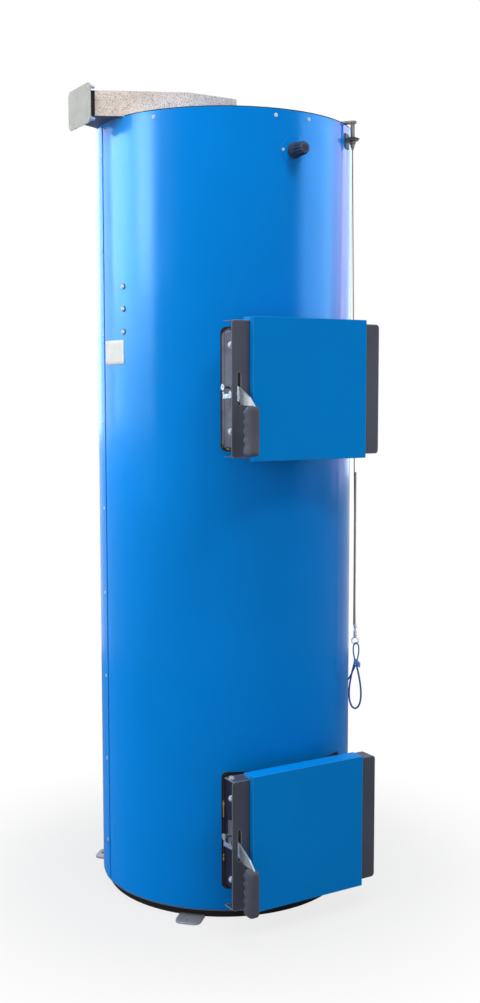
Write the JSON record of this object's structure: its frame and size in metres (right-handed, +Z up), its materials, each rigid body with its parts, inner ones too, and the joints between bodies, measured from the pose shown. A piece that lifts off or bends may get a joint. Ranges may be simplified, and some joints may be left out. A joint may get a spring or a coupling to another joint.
{
  "type": "solid fuel boiler",
  "caption": "Tall round solid fuel boiler in a blue steel jacket with two hinged doors, a roof air duct, a draught regulator and a pull cable.",
  "frame": {"origin": "centre of the round base on the floor", "axes": "+Z up, the doors face -Y, hinges are towards +X, the air duct points to -X, the flue to +Y"},
  "size_m": [0.752, 0.899, 2.0835],
  "materials": {
    "jacket_blue": "gloss",
    "cover_blue": "satin",
    "casing_grey": "satin",
    "base_black": "matt",
    "vessel_steel": "matt",
    "zinc_steel": "zinc plated",
    "duct_steel": "galvanised",
    "gasket_black": "matt",
    "grip_plastic": "moulded",
    "knob_plastic": "moulded",
    "mineral_wool": "fibrous",
    "fire_board": "rough",
    "rope_fibre": "braided",
    "loop_blue": "coated wire",
    "lug_steel": "mill"
  },
  "bodies": {
    "boiler": {"base_ring": "base_black", "anchor_lugs": "lug_steel", "vessel_floor": "base_black", "firebox_shell": "vessel_steel", "firebox_roof": "vessel_steel", "water_shell": "vessel_steel", "vessel_crown": "vessel_steel", "insulation_batts": "mineral_wool", "jacket_front": "jacket_blue", "jacket_back": "jacket_blue", "seam_strips": "jacket_blue", "roof_lid": "jacket_blue", "air_duct": "duct_steel", "duct_gasket_frame": "gasket_black", "duct_cover_plate": "zinc_steel", "regulator_escutcheon": "jacket_blue", "regulator_body": "knob_plastic", "cable_arm": "zinc_steel", "cable_bracket": "zinc_steel", "pull_cable": "zinc_steel", "pull_loop": "loop_blue", "flue_stub": "vessel_steel", "water_sockets": "vessel_steel", "hinge_pins": "zinc_steel", "latch_keepers": "zinc_steel", "upper_door_neck": "vessel_steel", "lower_door_neck": "vessel_steel"},
    "knob": {"regulator_knob": "knob_plastic"},
    "upper_door": {"upper_door_leaf": "vessel_steel", "upper_door_seal": "rope_fibre", "upper_door_block": "fire_board", "upper_door_board": "mineral_wool", "upper_door_casing": "casing_grey", "upper_door_cover": "cover_blue"},
    "upper_handle": {"upper_handle_lever": "zinc_steel", "upper_handle_grip": "grip_plastic"},
    "lower_door": {"lower_door_leaf": "vessel_steel", "lower_door_seal": "rope_fibre", "lower_door_block": "fire_board", "lower_door_board": "mineral_wool", "lower_door_casing": "casing_grey", "lower_door_cover": "cover_blue"},
    "lower_handle": {"lower_handle_lever": "zinc_steel", "lower_handle_grip": "grip_plastic"}
  },
  "joints": [
    {"name": "upper_door_swing", "type": "hinge", "parent": "boiler", "child": "upper_door", "pos_m": [0.19, -0.346, 1.335], "axis": [0, 0, 1], "range_deg": [0, 110]},
    {"name": "upper_handle_lift", "type": "hinge", "parent": "upper_door", "child": "upper_handle", "pos_m": [-0.1935, -0.38, 1.335], "axis": [-1, 0, 0], "range_deg": [0, 55]},
    {"name": "lower_door_swing", "type": "hinge", "parent": "boiler", "child": "lower_door", "pos_m": [0.19, -0.346, 0.232], "axis": [0, 0, 1], "range_deg": [0, 110]},
    {"name": "lower_handle_lift", "type": "hinge", "parent": "lower_door", "child": "lower_handle", "pos_m": [-0.1935, -0.38, 0.232], "axis": [-1, 0, 0], "range_deg": [0, 55]},
    {"name": "regulator_turn", "type": "hinge", "parent": "boiler", "child": "knob", "pos_m": [0, -0.35, 1.911], "axis": [0, -1, 0], "range_deg": [-135, 135]}
  ]
}
